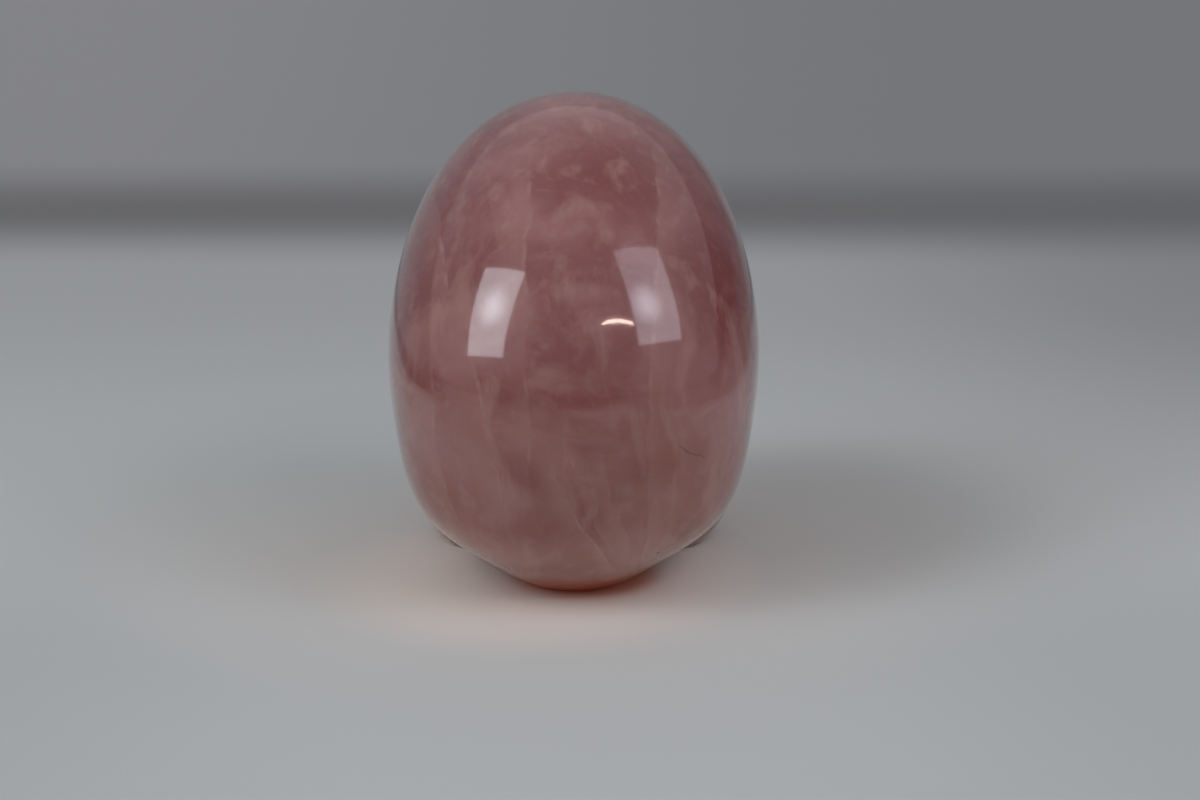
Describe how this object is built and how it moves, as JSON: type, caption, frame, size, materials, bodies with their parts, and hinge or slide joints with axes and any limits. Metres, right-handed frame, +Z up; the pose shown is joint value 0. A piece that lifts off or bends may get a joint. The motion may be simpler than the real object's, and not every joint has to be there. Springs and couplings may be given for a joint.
{
  "type": "carved stone skull",
  "caption": "Palm-size human skull carved from one piece of milky pink quartz, polished all over, that rests on its flat foot.",
  "frame": {"origin": "on the table, under the middle of the skull's box", "axes": "+Z up from the table, +Y towards the back of the head, so the face looks along -Y, and +X towards the skull's own left side"},
  "size_m": [0.0354, 0.0511, 0.0452],
  "materials": {
    "rose_quartz": "polished, milky and slightly translucent"
  },
  "bodies": {
    "root": {"skull": "rose_quartz"}
  },
  "joints": []
}
